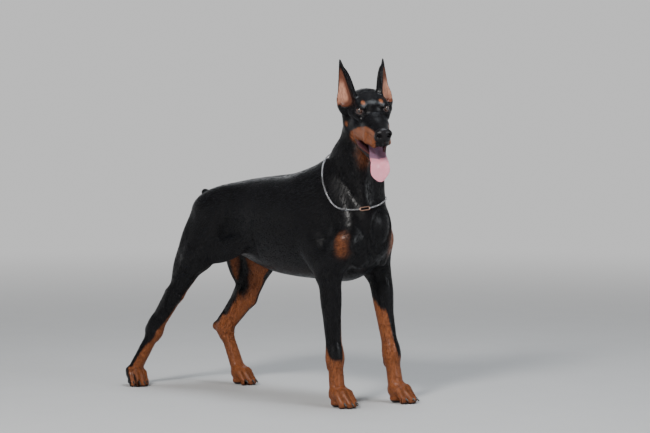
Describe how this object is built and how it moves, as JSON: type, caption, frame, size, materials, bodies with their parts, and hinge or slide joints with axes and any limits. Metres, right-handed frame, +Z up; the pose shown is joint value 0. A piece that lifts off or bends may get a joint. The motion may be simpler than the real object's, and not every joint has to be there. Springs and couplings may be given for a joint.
{
  "type": "doberman pinscher",
  "caption": "Still, life-size model of a short-haired dog standing square with its head turned aside, mouth open and tongue out, wearing a thin chain collar.",
  "frame": {"origin": "on the floor, under the middle of the whole model's box", "axes": "+X forward along the body, +Y to the dog's left, +Z up"},
  "size_m": [1.0462, 0.3212, 1.006],
  "materials": {
    "coat_black": "short flat glossy black hair with a bluish-grey sheen and rust markings",
    "coat_tan": "short flat rust-tan hair with black markings",
    "nose_leather": "moist pebbled black",
    "tongue": "moist, finely bumped",
    "eye": "wet dark brown",
    "chain_steel": "polished wire",
    "ring_brass": "smooth, plain"
  },
  "bodies": {
    "root": {"collar_chain": "chain_steel", "collar_link": "ring_brass", "ear_left": "coat_black", "ear_right": "coat_black", "eye_left": "eye", "eye_right": "eye", "foreleg_left": "coat_black", "foreleg_right": "coat_black", "forepaw_left": "coat_tan", "forepaw_right": "coat_tan", "head": "coat_black", "hind_pastern_left": "coat_tan", "hind_pastern_right": "coat_tan", "hindpaw_left": "coat_tan", "hindpaw_right": "coat_tan", "lower_jaw": "coat_black", "neck": "coat_black", "nose": "nose_leather", "shin_left": "coat_black", "shin_right": "coat_black", "tail": "coat_black", "thigh_left": "coat_black", "thigh_right": "coat_black", "tongue": "tongue", "torso": "coat_black"}
  },
  "joints": []
}
